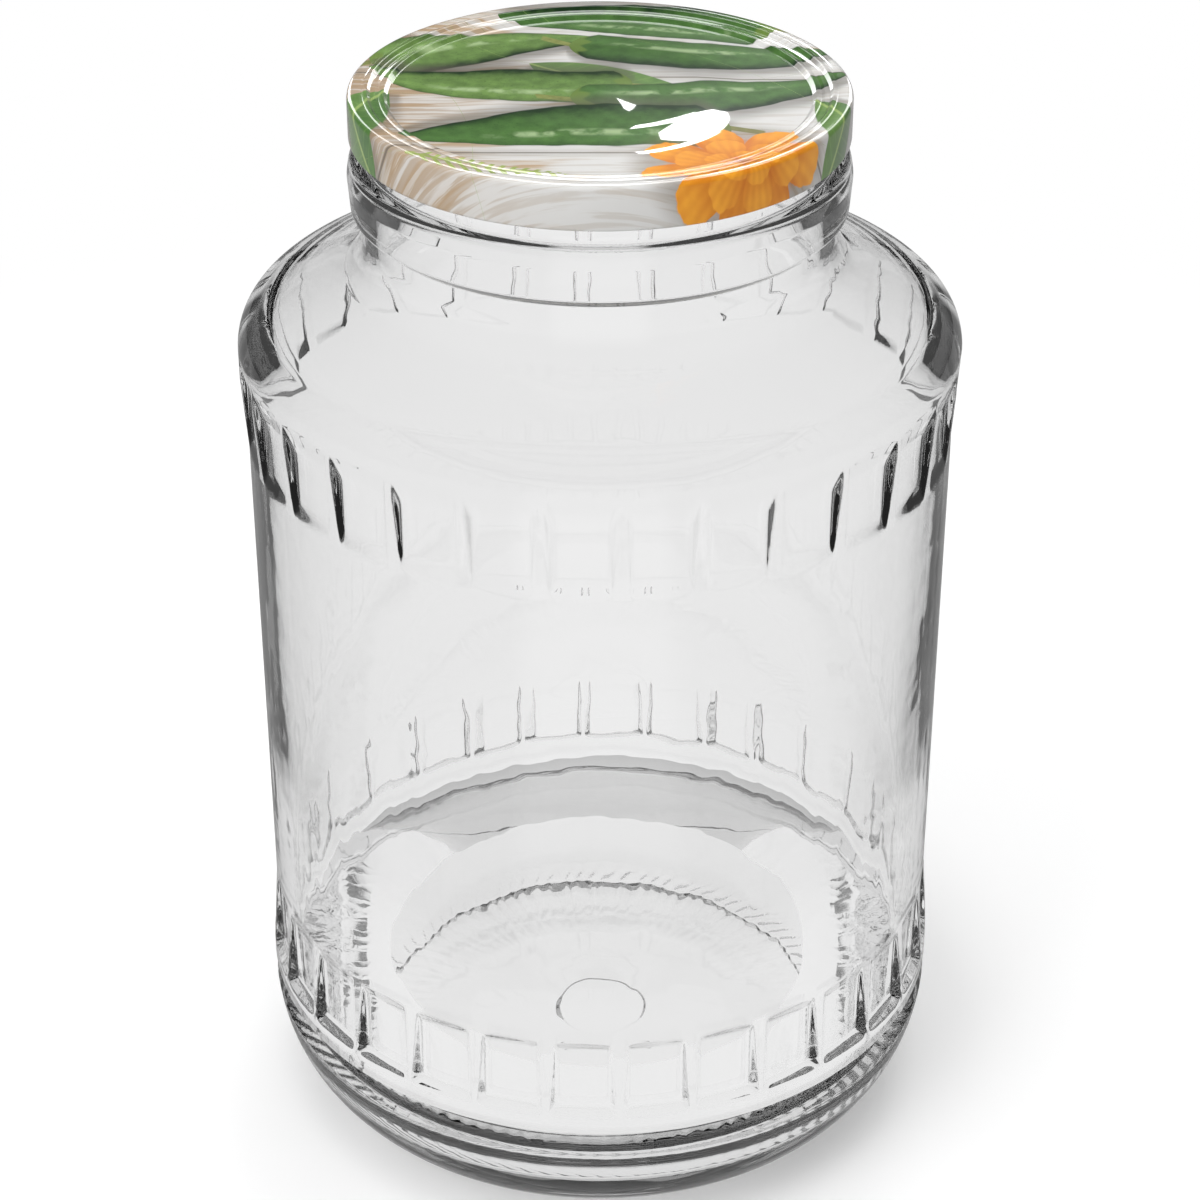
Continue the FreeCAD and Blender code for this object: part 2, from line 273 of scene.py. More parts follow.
HEEL_BAND = (36.3 * MM, 55.0 * MM)
SHOULDER_BAND = (164.6 * MM, 183.0 * MM)
SIDE_RUN = math.tan(math.radians(42))  # a window's side moves this far for each step outwards
TOP_RUN = math.tan(math.radians(73))
HEEL_FOOT_RUN = math.tan(math.radians(42))
SHOULDER_FOOT_RUN = math.tan(math.radians(77))
EDGE_SOFTNESS = 0.24 * MM  # rounding where a window's side meets its floor and the rib
HEEL_CORNER = 1.2 * MM  # rounding of its lower corners
SHOULDER_CORNER = 0.4 * MM
BANDS = ((*HEEL_BAND, HEEL_FOOT_RUN, HEEL_CORNER), (*SHOULDER_BAND, SHOULDER_FOOT_RUN, SHOULDER_CORNER))
BELOW_BAND = 3 * MM  # how far beyond a band its pressed edges may reach
ABOVE_BAND = 5 * MM
# Millimetres from a band's lower and upper edges, and from the middle of a rib, to the rows and columns there
LOW_EDGE_ROWS = (-1.2, -0.7, -0.3, 0.1, 0.5, 0.9, 1.4, 1.9, 2.5, 3.2, 3.9, 4.7)
HIGH_EDGE_ROWS = (-2.8, -2.3, -1.8, -1.3, -0.8, -0.3, 0.2, 0.7, 1.2, 1.8, 2.4, 3.1)
RIB_COLUMNS = (0.0, 0.25, 0.55, 0.85, 1.15, 1.45, 1.75, 2.05, 2.45, 3.4)

FINISH_RADIUS = 48.6 * MM
MOUTH_RADIUS = 45.2 * MM
RIM_ROUNDING = 1.2 * MM
NECK_RADIUS = 49.0 * MM
NECK_CORNER = 205.0 * MM  # height at which the neck and the shoulder's slope would meet
NECK_ROUNDING = 9 * MM
SIDE_CORNER = 191.6 * MM
SHOULDER_ROUNDING = 14.8 * MM
SHOULDER_ARC_STEPS = 24
SHOULDER_WALL = 3.6 * MM
SLOPE = math.radians(26)
FLARE_BLEND = 4 * MM  # rounding where a flare leaves the side
FLARE_LEAD = 2 * MM  # the shoulder's flare is complete this far below the top of its band
UPPER_COLUMNS = 192
BEAD_BOTTOM = 215.0 * MM
BEAD_FOOT = 2.2 * MM  # height of its sloping underside
BEAD_FOOT_RADIUS = 51.6 * MM
BEAD_RADIUS = 52.1 * MM
BEAD_TOP = 227.6 * MM
BEAD_TAPER = 3.6 * MM
BEAD_LIP = 0.6 * MM

THREADS = 6
THREAD_LOW = LID_BOTTOM + 2.85 * MM
THREAD_START = math.radians(-6)
THREAD_SWEEP = math.radians(42)
THREAD_RISE = 1.6 * MM  # from one end of a ridge to the other
THREAD_HEIGHT = 1.2 * MM  # how far it stands out
THREAD_REACH = 1.3 * MM  # half its width at the foot
THREAD_FLANK = 0.9 * MM

STANDING_OUTER = 56.3 * MM
STANDING_INNER = 52.2 * MM
STEP_ROUGHNESS = 0.22 * MM  # of the small step inside the standing ring
RING_ROWS = 6
HEEL_HEIGHT = 28.0 * MM
HEEL_ROWS = 14
HEEL_CROWDING = 1.15  # above 1, the rows are closer towards the standing ring
DOME = 3.2 * MM  # how far the underside's middle is above the floor
FLOOR_TOP = 10.0 * MM
FLOOR_ROUNDING = 21 * MM  # where the inner wall meets the floor
WALL_FOOT_RADIUS = 55 * MM  # the ripple lifts what is nearer the axis, and pushes the rest outwards
RIPPLE_FADE = 20 * MM
KNURL_COLUMNS = 5  # columns of vertices to a knurl
KNURL_DEPTH = 0.5 * MM
KNURL_SLANT = math.tan(math.radians(28))
KNURL_INNER = STANDING_INNER - 0.4 * MM
KNURL_OUTER = STANDING_OUTER + 5.2 * MM
LOW_SEAM = 20.0 * MM  # height on the heel where the knurled base meets the panelled side
BELOW_SEAM = 0.985  # share of the way up to it at which the base ends, to be bridged
HIGH_SEAM = 186.4 * MM  # height on the side where it meets the shoulder


def side_outline(sizes):
    """The outside from the heel's top to the start of the shoulder, before the windows are pressed in."""
    body = HEEL_RADIUS - sizes.heel_flare
    shoulder = body + sizes.shoulder_flare
    corners = [(HEEL_RADIUS, HEEL_HEIGHT, 0), (HEEL_RADIUS, HEEL_BAND[0], FLARE_BLEND)]
    corners += [(body, HEEL_BAND[1], FLARE_BLEND), (body, SHOULDER_BAND[0], FLARE_BLEND)]
    corners += [(shoulder, SHOULDER_BAND[1] - FLARE_LEAD, FLARE_BLEND), (shoulder, SIDE_CORNER, SHOULDER_ROUNDING)]
    corners += [(NECK_RADIUS, NECK_CORNER, NECK_ROUNDING), (NECK_RADIUS, BEAD_BOTTOM, 0)]
    return rounded_outline(corners, SHOULDER_ARC_STEPS)


def heel_share(z):
    """How far round the heel's quarter ellipse a height is."""
    return math.acos(1 - z / HEEL_HEIGHT) / (math.pi / 2)


def heel_point(share):
    """A point of the heel's quarter ellipse, from the standing ring to the side."""
    angle = share * math.pi / 2
    radius = STANDING_OUTER + (HEEL_RADIUS - STANDING_OUTER) * math.sin(angle)
    return Vector((radius, HEEL_HEIGHT * (1 - math.cos(angle))))


def radius_at(outline, z):
    """The outline's radius at a height, where the outline rises all the way."""
    for a, b in zip(outline, outline[1:]):
        if a.y <= z <= b.y and b.y > a.y:
            return a.x + (b.x - a.x) * (z - a.y) / (b.y - a.y)
    return outline[-1].x


def band_rows(band):
    """Heights close together at the two ends of a band of windows."""
    low = [band[0] + step * MM for step in LOW_EDGE_ROWS]
    high = [band[1] - step * MM for step in reversed(HIGH_EDGE_ROWS)]
    return low + [low[-1] + (high[0] - low[-1]) * share for share in (0.33, 0.67)] + high


def soft_lower(a, b, softness):
    """The lower of two values, blended where they are close."""
    share = max(0.0, softness - abs(a - b)) / softness
    return min(a, b) - share * share * softness / 4


def soft_higher(a, b, softness):
    """The higher of two values, blended where they are close."""
    return -soft_lower(-a, -b, softness)


def press_windows(piece, sizes):
    """Sinks each vertex inside a window on to its sloping edges or its flat floor."""
    body = HEEL_RADIUS - sizes.heel_flare
    floor = body - sizes.panel_depth
    half_pitch = math.pi / sizes.panels
    half_width = body * math.sin(half_pitch) - sizes.rib_width / 2
    for vertex in piece.data.vertices:
        co = vertex.co
        for low, high, foot_run, corner in BANDS:
            if low - BELOW_BAND < co.z < high + ABOVE_BAND:
                radius = co.xy.length
                angle = math.atan2(co.y, co.x)
                across = (angle + half_pitch) % (2 * half_pitch) - half_pitch
                side = body + (body * math.tan(abs(across)) - half_width) / SIDE_RUN
                foot = body + (low - co.z) / foot_run
                top = body + (co.z - high) / TOP_RUN
                edge = soft_higher(soft_higher(side, foot, corner), top, EDGE_SOFTNESS)
                sunk = soft_higher(edge, floor, EDGE_SOFTNESS) / math.cos(across)
                co.xy = co.xy * (soft_lower(radius, sunk, EDGE_SOFTNESS) / radius)


def side_piece(sizes):
    """The side with both bands: one pitch is turned, its windows pressed, and copied round."""
    outline = side_outline(sizes)
    rows = [LOW_SEAM, 22.5 * MM, 25 * MM, HEEL_HEIGHT, 31 * MM, 33.5 * MM]
    rows += band_rows(HEEL_BAND)
    rows += [z * MM for z in (60, 80, 102, 124, 145, 158)]
    rows += band_rows(SHOULDER_BAND) + [HIGH_SEAM]
    points = []
    for z in rows:
        if z < HEEL_HEIGHT:
            points.append(heel_point(heel_share(z)))
        else:
            points.append(Vector((radius_at(outline, z), z)))
    body = HEEL_RADIUS - sizes.heel_flare
    half_pitch = math.pi / sizes.panels
    angles = [mm * MM / body for mm in RIB_COLUMNS] + [half_pitch]
    steps = [b - a for a, b in zip(angles, angles[1:])]
    # The strip runs from the middle of a window over a rib to the middle of the next.
    turns = [(step, 1) for step in reversed(steps)] + [(step, 1) for step in steps]
    piece = turned_strip("side", points, turns)
    press_windows(piece, sizes)
    repeat_round(piece, sizes.panels)
    merge_and_face_out(piece)
    turn_about_axis(piece, sizes.panel_phase - math.pi / 2 + half_pitch)
    return piece


def base_piece(sizes):
    """The lower heel, the knurled standing ring and the hollow underside."""
    seam_share = heel_share(LOW_SEAM) * BELOW_SEAM
    heel = [heel_point(seam_share * (1 - k / HEEL_ROWS) ** HEEL_CROWDING) for k in range(HEEL_ROWS + 1)]
    mark = DOME + 0.6 * MM
    corners = [(STANDING_OUTER, 0, 0), (STANDING_INNER, 0, 0.2 * MM)]
    corners += [(STANDING_INNER - 0.8 * MM, 1 * MM, 0.3 * MM), (30 * MM, DOME - 0.5 * MM, 20 * MM)]
    corners += [(10.5 * MM, DOME, 0.3 * MM), (10 * MM, mark, 0.3 * MM), (0, mark, 0)]
    under = rounded_outline(corners, 3)
    ring = [under[0].lerp(under[1], k / RING_ROWS) for k in range(1, RING_ROWS + 1)]
    piece = turned_strip("base", heel + ring + under[2:], [(2 * math.pi, sizes.knurls * KNURL_COLUMNS)])
    for vertex in piece.data.vertices:
        co = vertex.co
        radius = co.xy.length
        if KNURL_INNER < radius < KNURL_OUTER and co.z < 4 * MM:
            slant = KNURL_SLANT * (radius - KNURL_INNER) / KNURL_INNER
            wave = 0.5 + 0.5 * math.cos(sizes.knurls * (math.atan2(co.y, co.x) + slant))
            fade = ease((radius - KNURL_INNER) / MM) * ease((KNURL_OUTER - radius) / (2 * MM))
            co.z += KNURL_DEPTH * wave * wave * fade
        if STANDING_INNER - 1.2 * MM < radius < STANDING_INNER + 0.3 * MM and co.z < 1.5 * MM:
            rough = math.cos(sizes.knurls * math.atan2(co.y, co.x)) + noise.noise(co * 900)
            co.xy = co.xy * (1 + STEP_ROUGHNESS * rough / radius)
    merge_and_face_out(piece)
    return piece


def thread_relief(angle, z):
    """How far a thread ridge stands out at a place on the finish."""
    relief = 0.0
    for i in range(THREADS):
        start = THREAD_START + i * 2 * math.pi / THREADS
        along = (angle - start) % (2 * math.pi) / THREAD_SWEEP
        if along < 1:
            off = abs(z - THREAD_LOW - THREAD_RISE * along)
            ends = ease(along * 12) * ease((1 - along) * 12)
            relief = max(relief, THREAD_HEIGHT * ends * ease((THREAD_REACH - off) / THREAD_FLANK))
    return relief


def waves(co):
    """Slow and finer swells of the inner wall, longer up the jar than round it."""
    slow = noise.noise(Vector((co.x * 16, co.y * 16, co.z * 9)))
    fine = noise.noise(Vector((co.x * 42, co.y * 42, co.z * 24 + 5)))
    return slow + 0.45 * fine


def upper_and_inner_piece(sizes):
    """The shoulder, neck, bead, finish and rim, and on down the inside to the middle of the floor."""
    outer = [p for p in side_outline(sizes)[:-1] if p.y > HIGH_SEAM + 0.5 * MM]
    corners = [(NECK_RADIUS, NECK_CORNER + 6 * MM, 0), (NECK_RADIUS, BEAD_BOTTOM, 0.5 * MM)]
    corners += [(BEAD_FOOT_RADIUS, BEAD_BOTTOM + BEAD_FOOT, 0.9 * MM), (BEAD_RADIUS, BEAD_TOP - BEAD_TAPER, 3 * MM)]
    corners += [(BEAD_RADIUS - BEAD_LIP, BEAD_TOP, 2 * MM), (FINISH_RADIUS, BEAD_TOP + BEAD_LIP, 0.8 * MM)]
    corners += [(FINISH_RADIUS, RIM_TOP, RIM_ROUNDING), (MOUTH_RADIUS, RIM_TOP, RIM_ROUNDING)]
    inner_neck = NECK_CORNER + (NECK_RADIUS - MOUTH_RADIUS) * math.tan(SLOPE) - SHOULDER_WALL / math.cos(SLOPE)
    inside = HEEL_RADIUS - sizes.heel_flare - sizes.wall
    inner_side = inner_neck - (inside - MOUTH_RADIUS) * math.tan(SLOPE)
    corners += [(MOUTH_RADIUS, inner_neck, NECK_ROUNDING + SHOULDER_WALL)]
    corners += [(inside, inner_side, SHOULDER_ROUNDING - SHOULDER_WALL)]
    corners += [(inside, FLOOR_TOP, FLOOR_ROUNDING), (0, FLOOR_TOP, 0)]
    rest = rounded_outline(corners, 8)
    points = resample(outer + [p for p in rest if p.y > outer[-1].y or p is not rest[0]], 6 * MM)
    piece = turned_strip("upper_and_inside", points, [(2 * math.pi, UPPER_COLUMNS)])
    for vertex in piece.data.vertices:
        co = vertex.co
        radius = co.xy.length
        if abs(radius - FINISH_RADIUS) < 0.1 * MM and co.z > LID_BOTTOM:
            co.xy = co.xy * (1 + thread_relief(math.atan2(co.y, co.x), co.z) / radius)
        elif MM < radius < inside + 0.1 * MM and co.z < inner_neck and radius < radius_inside(co.z, inside) + MM:
            swell = sizes.ripple * waves(co) * ease((inner_neck - co.z) / RIPPLE_FADE)
            if radius > WALL_FOOT_RADIUS:
                co.xy = co.xy * (1 + swell / radius)
            else:
                co.z += 1.3 * swell
    merge_and_face_out(piece)
    return piece


def radius_inside(z, inside):
    """A radius that splits the inner wall from the outer one at a height."""
    if z > SIDE_CORNER - 14 * MM:
        return inside - max(0.0, z - (SIDE_CORNER - 3 * MM)) / math.tan(SLOPE)
    return inside


class JAR_OT_glass(bpy.types.Operator):
    """Builds the glass as one closed mesh with both walls"""
    bl_idname = "jar.glass"
    bl_label = "Glass jar"

    def execute(self, context):
        sizes = context.scene.jar_sizes
        pieces = [side_piece(sizes), base_piece(sizes), upper_and_inner_piece(sizes)]
        glass = join(pieces, "clear_glass_jar")
        bridge_rings(glass, LOW_SEAM - 1.5 * MM, LOW_SEAM + 1.5 * MM, 60 * MM)
        bridge_rings(glass, HIGH_SEAM - 1.5 * MM, HIGH_SEAM + 2.5 * MM, 73 * MM)
        merge_and_face_out(glass)
        smooth(glass)
        glass.data.materials.append(glass_material())
        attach(glass, "root")
        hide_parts("glass_jar")
        return {"FINISHED"}


# ---- materials

def new_material(name):
    """An empty material; returns it, its tree and its output node."""
    material = bpy.data.materials.new(name)
    material.use_nodes = True
    material.node_tree.nodes.clear()
    return material, material.node_tree, add(material.node_tree, "ShaderNodeOutputMaterial")


def add(tree, kind, values=None, **settings):
    """Adds a node with its settings and the values of its sockets."""
    node = tree.nodes.new(kind)
    for key, value in settings.items():
        setattr(node, key, value)
    for key, value in (values or {}).items():
        node.inputs[key].default_value = value
    return node


class Term:
    """A value in a node tree. Arithmetic on it adds Math nodes."""

    def __init__(self, tree, socket):
        self.tree = tree
        self.socket = socket

    def maths(self, operation, *others):
        node = add(self.tree, "ShaderNodeMath", operation=operation)
        for socket, value in zip(node.inputs, (self,) + others):
            if isinstance(value, Term):
                self.tree.links.new(value.socket, socket)
            else:
                socket.default_value = value
        return Term(self.tree, node.outputs[0])

    def __add__(self, other):
        return self.maths("ADD", other)

    def __sub__(self, other):
        return self.maths("SUBTRACT", other)

    def __mul__(self, other):
        return self.maths("MULTIPLY", other)

    def __truediv__(self, other):
        return self.maths("DIVIDE", other)

    def __rsub__(self, other):
        return self.maths("MULTIPLY", -1.0).maths("ADD", other)

    def __abs__(self):
        return self.maths("ABSOLUTE")

    __rmul__ = __mul__

    def at_least(self, low):
        return self.maths("MAXIMUM", low)

    def between(self, low=0.0, high=1.0):
        return self.at_least(low).maths("MINIMUM", high)

    def power(self, exponent):
        return self.maths("POWER", exponent)

    def fades(self, start, end):
        """1 below start, 0 above end."""
        node = add(self.tree, "ShaderNodeMapRange", {"From Min": start, "From Max": end, "To Min": 1.0, "To Max": 0.0},
                   interpolation_type="SMOOTHSTEP")
        self.tree.links.new(self.socket, node.inputs["Value"])
        return Term(self.tree, node.outputs[0])


def noise_term(tree, place, scale, detail=2.0, stretch=(1, 1, 1), distortion=0.0):
    """Noise between about 0.2 and 0.8 over a stretched place."""
    spread = add(tree, "ShaderNodeMapping", {"Scale": stretch})
    node = add(tree, "ShaderNodeTexNoise", {"Scale": scale, "Detail": detail, "Distortion": distortion})
    tree.links.new(place, spread.inputs["Vector"])
    tree.links.new(spread.outputs[0], node.inputs["Vector"])
    return Term(tree, node.outputs["Fac"])


def blend(tree, factor, first, second):
    """Mixes two colours, each a socket or (red, green, blue)."""
    node = add(tree, "ShaderNodeMix", data_type="RGBA")
    tree.links.new(factor.socket, node.inputs[0])
    for socket, value in ((node.inputs[6], first), (node.inputs[7], second)):
        if isinstance(value, tuple):
            socket.default_value = (*value, 1)
        else:
            tree.links.new(value, socket)
    return node.outputs[2]


def components(tree, vector):
    """A vector's x, y and z."""
    parts = add(tree, "ShaderNodeSeparateXYZ")
    tree.links.new(vector, parts.inputs[0])
    return [Term(tree, parts.outputs[axis]) for axis in "XYZ"]


def finish(name, values):
    """A material of one Principled shader; returns it, its tree and the shader."""
    material, tree, out = new_material(name)
    shader = add(tree, "ShaderNodeBsdfPrincipled", values)
    tree.links.new(shader.outputs[0], out.inputs["Surface"])
    return material, tree, shader


def mottled(name, values, scale, first, second):
    """A material whose colour drifts between two tones."""
    material, tree, shader = finish(name, values)
    place = add(tree, "ShaderNodeTexCoord")
    mottle = noise_term(tree, place.outputs["Object"], scale)
    tree.links.new(blend(tree, mottle, first, second), shader.inputs["Base Color"])
    return material


def glass_material():
    """Clear soda-lime glass with a fine surface ripple, that lets lamps through to the floor."""
    material, tree, out = new_material("clear_soda_glass")
    links = tree.links
    glass = add(tree, "ShaderNodeBsdfPrincipled", {
        "Base Color": (1, 1, 1, 1), "Transmission Weight": 1.0, "IOR": 1.52, "Roughness": 0.0})
    place = add(tree, "ShaderNodeTexCoord")
    ripple = add(tree, "ShaderNodeTexNoise", {"Scale": 55.0, "Detail": 2.0})
    bump = add(tree, "ShaderNodeBump", {"Strength": 0.06, "Distance": 2 * MM})
    links.new(place.outputs["Object"], ripple.inputs["Vector"])
    links.new(ripple.outputs["Fac"], bump.inputs["Height"])
    links.new(bump.outputs["Normal"], glass.inputs["Normal"])
    through = add(tree, "ShaderNodeBsdfTransparent", {"Color": (0.93, 0.93, 0.93, 1)})
    path = add(tree, "ShaderNodeLightPath")
    shader = mix_shaders(tree, path.outputs["Is Shadow Ray"], glass, through)
    links.new(shader.outputs[0], out.inputs["Surface"])
    depth = add(tree, "ShaderNodeVolumeAbsorption", {"Color": (0.88, 0.88, 0.88, 1), "Density": 55.0})
    links.new(depth.outputs[0], out.inputs["Volume"])
    return material


# ---- the lid's print

PRINT_SPAN = 130 * MM  # the flat blank that the UV map covers, with the lid's axis in its middle
PRINT_UNIT = 50 * MM  # one unit of the sizes in this section
LEAST_WIDTH = 0.0006
BOARD_WIDTH = 0.78
POD_SHADOW = (0.10, 0.09, 0.07)
POD_GLEAM = (0.52, 0.66, 0.38)
POD_CAP = (0.16, 0.24, 0.05)
STALK_TONES = ((0.12, 0.15, 0.03), (0.34, 0.36, 0.12))
LEAF_SHADOW = (0.12, 0.10, 0.08)
MIDRIB = (0.38, 0.50, 0.16)
BLOOM_SHADOW = (0.14, 0.09, 0.05)
BLOOM_HEART = (0.30, 0.09, 0.01)
SPRIG_SHADOW = (0.2, 0.17, 0.12)
# Each row's outer edge, half its number of petals, its turn, how deep its petals part, and the shadow under it
PETAL_ROWS = ((1.0, 4, 0.3, 0.48, 0.0), (0.68, 3.5, 1.1, 0.4, 0.45), (0.4, 3, 0.2, 0.3, 0.45))


def colour_group(name, kinds):
    """A node group that gives a colour; returns it, what it is given, and its result's socket."""
    group = bpy.data.node_groups.new(name, "ShaderNodeTree")
    for label, kind in kinds.items():
        group.interface.new_socket(label, in_out="INPUT", socket_type="NodeSocket" + kind)
    group.interface.new_socket("Colour", in_out="OUTPUT", socket_type="NodeSocketColor")
    given = group.nodes.new("NodeGroupInput")
    return group, given.outputs, group.nodes.new("NodeGroupOutput").inputs["Colour"]


def motif_group(name, draw):
    """A node group that paints one motif over the colour beneath it, in the motif's own axes."""
    kinds = {"Under": "Color", "Place": "Vector", "Centre": "Vector", "Turn": "Float", "Length": "Float",
             "Width": "Float", "Bend": "Float", "Light": "Color", "Dark": "Color"}
    group, given, result = colour_group(name, kinds)
    moved = add(group, "ShaderNodeVectorMath", operation="SUBTRACT")
    turned = add(group, "ShaderNodeVectorRotate", rotation_type="Z_AXIS", invert=True)
    group.links.new(given["Place"], moved.inputs[0])
    group.links.new(given["Centre"], moved.inputs[1])
    group.links.new(moved.outputs[0], turned.inputs["Vector"])
    group.links.new(given["Turn"], turned.inputs["Angle"])
    x, y, _ = components(group, turned.outputs[0])
    group.links.new(draw(group, given, x, y), result)
    return group


def bent_axes(tree, given, x, y):
    """A motif's half length and width, the share along its bent middle line, and the distance off that line."""
    length, width, bend = (Term(tree, given[label]) for label in ("Length", "Width", "Bend"))
    along = x / length
    return length, width, along, y - bend * (along * along - 0.33)


def toned(tree, given, tone):
    """The motif's dark and light colours mixed by a tone."""
    return blend(tree, tone.between(), given["Dark"], given["Light"])


def draw_pod(tree, given, x, y):
    """A long smooth pepper with its shadow, folds, a broken streak of light, cap and stem."""
    length, width, along, off = bent_axes(tree, given, x, y)
    tip = ((1.0 - along) / 0.95).between().power(0.62)
    butt = ((along + 1.0) * 5.5).between().power(0.5)
    wobble = noise_term(tree, given["Place"], 3.2)
    half = (width * tip * butt * (wobble * 0.5 + 0.75)).at_least(LEAST_WIDTH)
    across = off / half
    body = abs(across).fades(0.96, 1.03)
    shade = abs((off + 0.05) / (half + 0.035)).fades(0.55, 1.3) * abs(along).fades(0.92, 1.08)
    ground = blend(tree, shade * 0.62, given["Under"], POD_SHADOW)
    dome = (1.0 - across * across).between().power(0.5)
    folds = (across * 6.5 + wobble * 5.0).maths("COSINE") * 0.07
    mottle = noise_term(tree, given["Place"], 16.0, 4.0) - 0.5
    tone = dome * 0.72 + across * 0.26 + folds + mottle * 0.85 - 0.02
    skin = toned(tree, given, tone)
    flecks = noise_term(tree, given["Place"], 90.0).fades(0.28, 0.42)
    skin = blend(tree, flecks * 0.35, skin, given["Dark"])
    gleam = abs(across - 0.38).fades(0.02, 0.24) * abs(along + 0.12).fades(0.3, 0.75)
    broken = 1.0 - noise_term(tree, given["Place"], 9.0, 3.0).fades(0.42, 0.58)
    skin = blend(tree, gleam * broken * 0.55, skin, POD_GLEAM)
    cap = (along + (across * 8.0).maths("COSINE") * 0.03).fades(-0.9, -0.86)
    skin = blend(tree, cap * 0.75, skin, POD_CAP)
    beyond = (along + 1.0) * length * -1.0
    stalk = abs(off - beyond * 0.3).fades(0.020, 0.027) * beyond.fades(0.125, 0.135)
    stalk = stalk * (beyond * -1.0).fades(0.0, 0.03)
    stalk_tone = blend(tree, noise_term(tree, given["Place"], 30.0), *STALK_TONES)
    return blend(tree, body, blend(tree, stalk, ground, stalk_tone), skin)


def draw_leaf(tree, given, x, y):
    """A long smooth-edged leaf with a midrib, side veins and one half lit more than the other."""
    _, width, along, off = bent_axes(tree, given, x, y)
    point = (1.0 - along * along).between()
    half = (width * point * (1.0 - along * 0.22)).at_least(LEAST_WIDTH)
    across = off / half
    body = abs(across).fades(0.96, 1.04)
    shade = abs((off + 0.03) / (half + 0.02)).fades(0.6, 1.25) * abs(along).fades(0.9, 1.02)
    ground = blend(tree, shade * 0.5, given["Under"], LEAF_SHADOW)
    lit = 1.0 - across.fades(-0.06, 0.06)
    veins = abs((along * 5.0 - abs(across) * 0.9).maths("FRACT") - 0.5).fades(0.03, 0.09)
    mottle = noise_term(tree, given["Place"], 12.0, 4.0)
    tone = lit * 0.3 + mottle * 0.8 + veins * 0.22 - 0.08
    skin = toned(tree, given, tone)
    skin = blend(tree, abs(off).fades(0.004, 0.011) * 0.7, skin, MIDRIB)
    return blend(tree, body, ground, skin)


def draw_bloom(tree, given, x, y):
    """A flower head of three rows of petals, each row shading the one beneath it."""
    size = Term(tree, given["Length"])
    reach = (x * x + y * y).power(0.5) / size
    angle = y.maths("ARCTAN2", x)
    ruffle = noise_term(tree, given["Place"], 14.0) - 0.5
    colour = blend(tree, reach.fades(0.85, 1.2) * 0.5, given["Under"], BLOOM_SHADOW)
    for edge, petals, phase, cut, shadow in PETAL_ROWS:
        lobe = abs((angle * petals + phase).maths("COSINE")).power(0.55)
        rim = edge * (lobe * cut + (1 - cut)) + ruffle * 0.14
        creases = (angle * (petals * 10)).maths("COSINE") * 0.09
        tone = lobe * 0.55 + (reach / edge) * 0.5 + ruffle * 0.6 + creases - 0.2
        petal = toned(tree, given, tone)
        colour = blend(tree, (reach - edge).fades(-0.06, 0.1) * shadow, colour, given["Dark"])
        colour = blend(tree, (reach - rim).fades(-0.012, 0.012), colour, petal)
    return blend(tree, reach.fades(0.05, 0.14), colour, BLOOM_HEART)


def draw_sprig(tree, given, x, y):
    """A thin curved stalk with short slanted leaflets on both sides."""
    _, width, along, off = bent_axes(tree, given, x, y)
    stalk = abs(off).fades(0.006, 0.013) * abs(along).fades(0.98, 1.0)
    reach = (width * (1.0 - along * along).between()).at_least(LEAST_WIDTH)
    cell = abs(((x - abs(off) * 0.8) / 0.052).maths("FRACT") - 0.5)
    leaflets = cell.fades(0.16, 0.27) * (abs(off) / reach).fades(0.9, 1.0)
    shade = abs(off + 0.02).fades(0.0, 0.05) * abs(along).fades(0.85, 1.0)
    ground = blend(tree, shade * 0.2, given["Under"], SPRIG_SHADOW)
    tone = noise_term(tree, given["Place"], 25.0)
    return blend(tree, leaflets.at_least(stalk), ground, toned(tree, given, tone))


def boards_group():
    """Pale limed boards whose tan grain runs along x, browner to the left, with a joint between boards."""
    group, given, result = colour_group("limed boards", {"Place": "Vector", "Joint": "Float"})
    place = given["Place"]
    x, y, _ = components(group, place)
    worn = x.fades(-1.1, -0.05)
    broad = noise_term(group, place, 2.1, 5.0, (0.55, 3.6, 1), 1.1)
    grain = noise_term(group, place, 5.0, 5.0, (0.5, 7.5, 1), 0.5)
    streaks = 1.0 - (broad + worn * 0.13).fades(0.52, 0.70)
    lines = 1.0 - (grain + worn * 0.10).fades(0.50, 0.62)
    colour = blend(group, lines * 0.34, (0.66, 0.655, 0.64), (0.42, 0.36, 0.29))
    colour = blend(group, streaks * (lines * 0.5 + 0.45), colour, (0.46, 0.33, 0.20))
    colour = blend(group, worn * (lines * 0.55 + 0.3), colour, (0.38, 0.27, 0.17))
    for k in (-1, 0, 1):
        line = abs(y - Term(group, given["Joint"]) - BOARD_WIDTH * k)
        colour = blend(group, line.fades(0.02, 0.06) * 0.3, colour, (0.30, 0.27, 0.23))
        colour = blend(group, line.fades(0.003, 0.009) * 0.75, colour, (0.12, 0.10, 0.08))
    group.links.new(colour, result)
    return group


LACQUER = {"Roughness": 0.3, "Specular IOR Level": 0.06, "Coat Weight": 1.0, "Coat Roughness": 0.02}
MOTIFS = {"pepper pod": draw_pod, "bay leaf": draw_leaf, "marigold head": draw_bloom, "herb sprig": draw_sprig}
MID_POD = ((0.085, 0.20, 0.045), (0.008, 0.028, 0.008))
FRESH_POD = ((0.19, 0.33, 0.085), (0.008, 0.028, 0.008))
LEAFY = ((0.17, 0.30, 0.08), (0.04, 0.12, 0.03))
HERBY = ((0.42, 0.48, 0.15), (0.20, 0.28, 0.07))
PETALS = ((0.88, 0.38, 0.03), (0.56, 0.14, 0.006))
